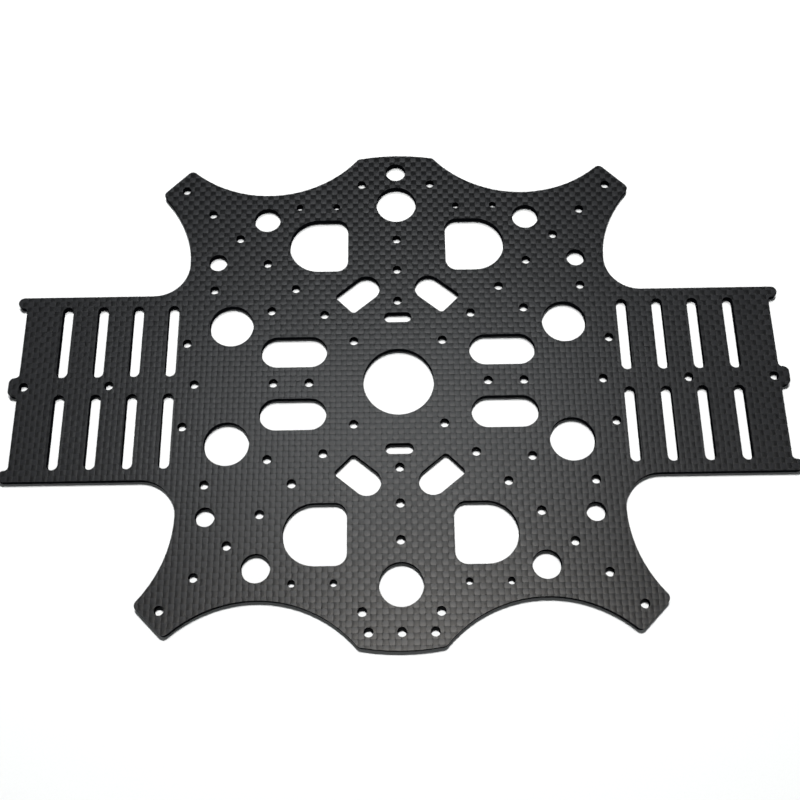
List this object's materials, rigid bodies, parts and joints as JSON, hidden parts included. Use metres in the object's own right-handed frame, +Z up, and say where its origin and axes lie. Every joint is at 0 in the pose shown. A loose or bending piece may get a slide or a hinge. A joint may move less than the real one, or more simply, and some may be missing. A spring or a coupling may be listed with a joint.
{
  "type": "multirotor centre plate",
  "caption": "Flat six-armed carbon-fibre centre plate of a multirotor frame, with a centre bore, diagonal screw rows, D-shaped windows and strap slots on two wings.",
  "frame": {"origin": "middle of the underside, on the axis of the centre bore", "axes": "+X along the wings, +Y towards the nose with the single round hole (the rear), +Z up out of the upper woven face"},
  "size_m": [0.2756, 0.1864, 0.0025],
  "materials": {
    "carbon_laminate": "satin"
  },
  "bodies": {
    "root": {"centre_plate": "carbon_laminate"}
  },
  "joints": []
}
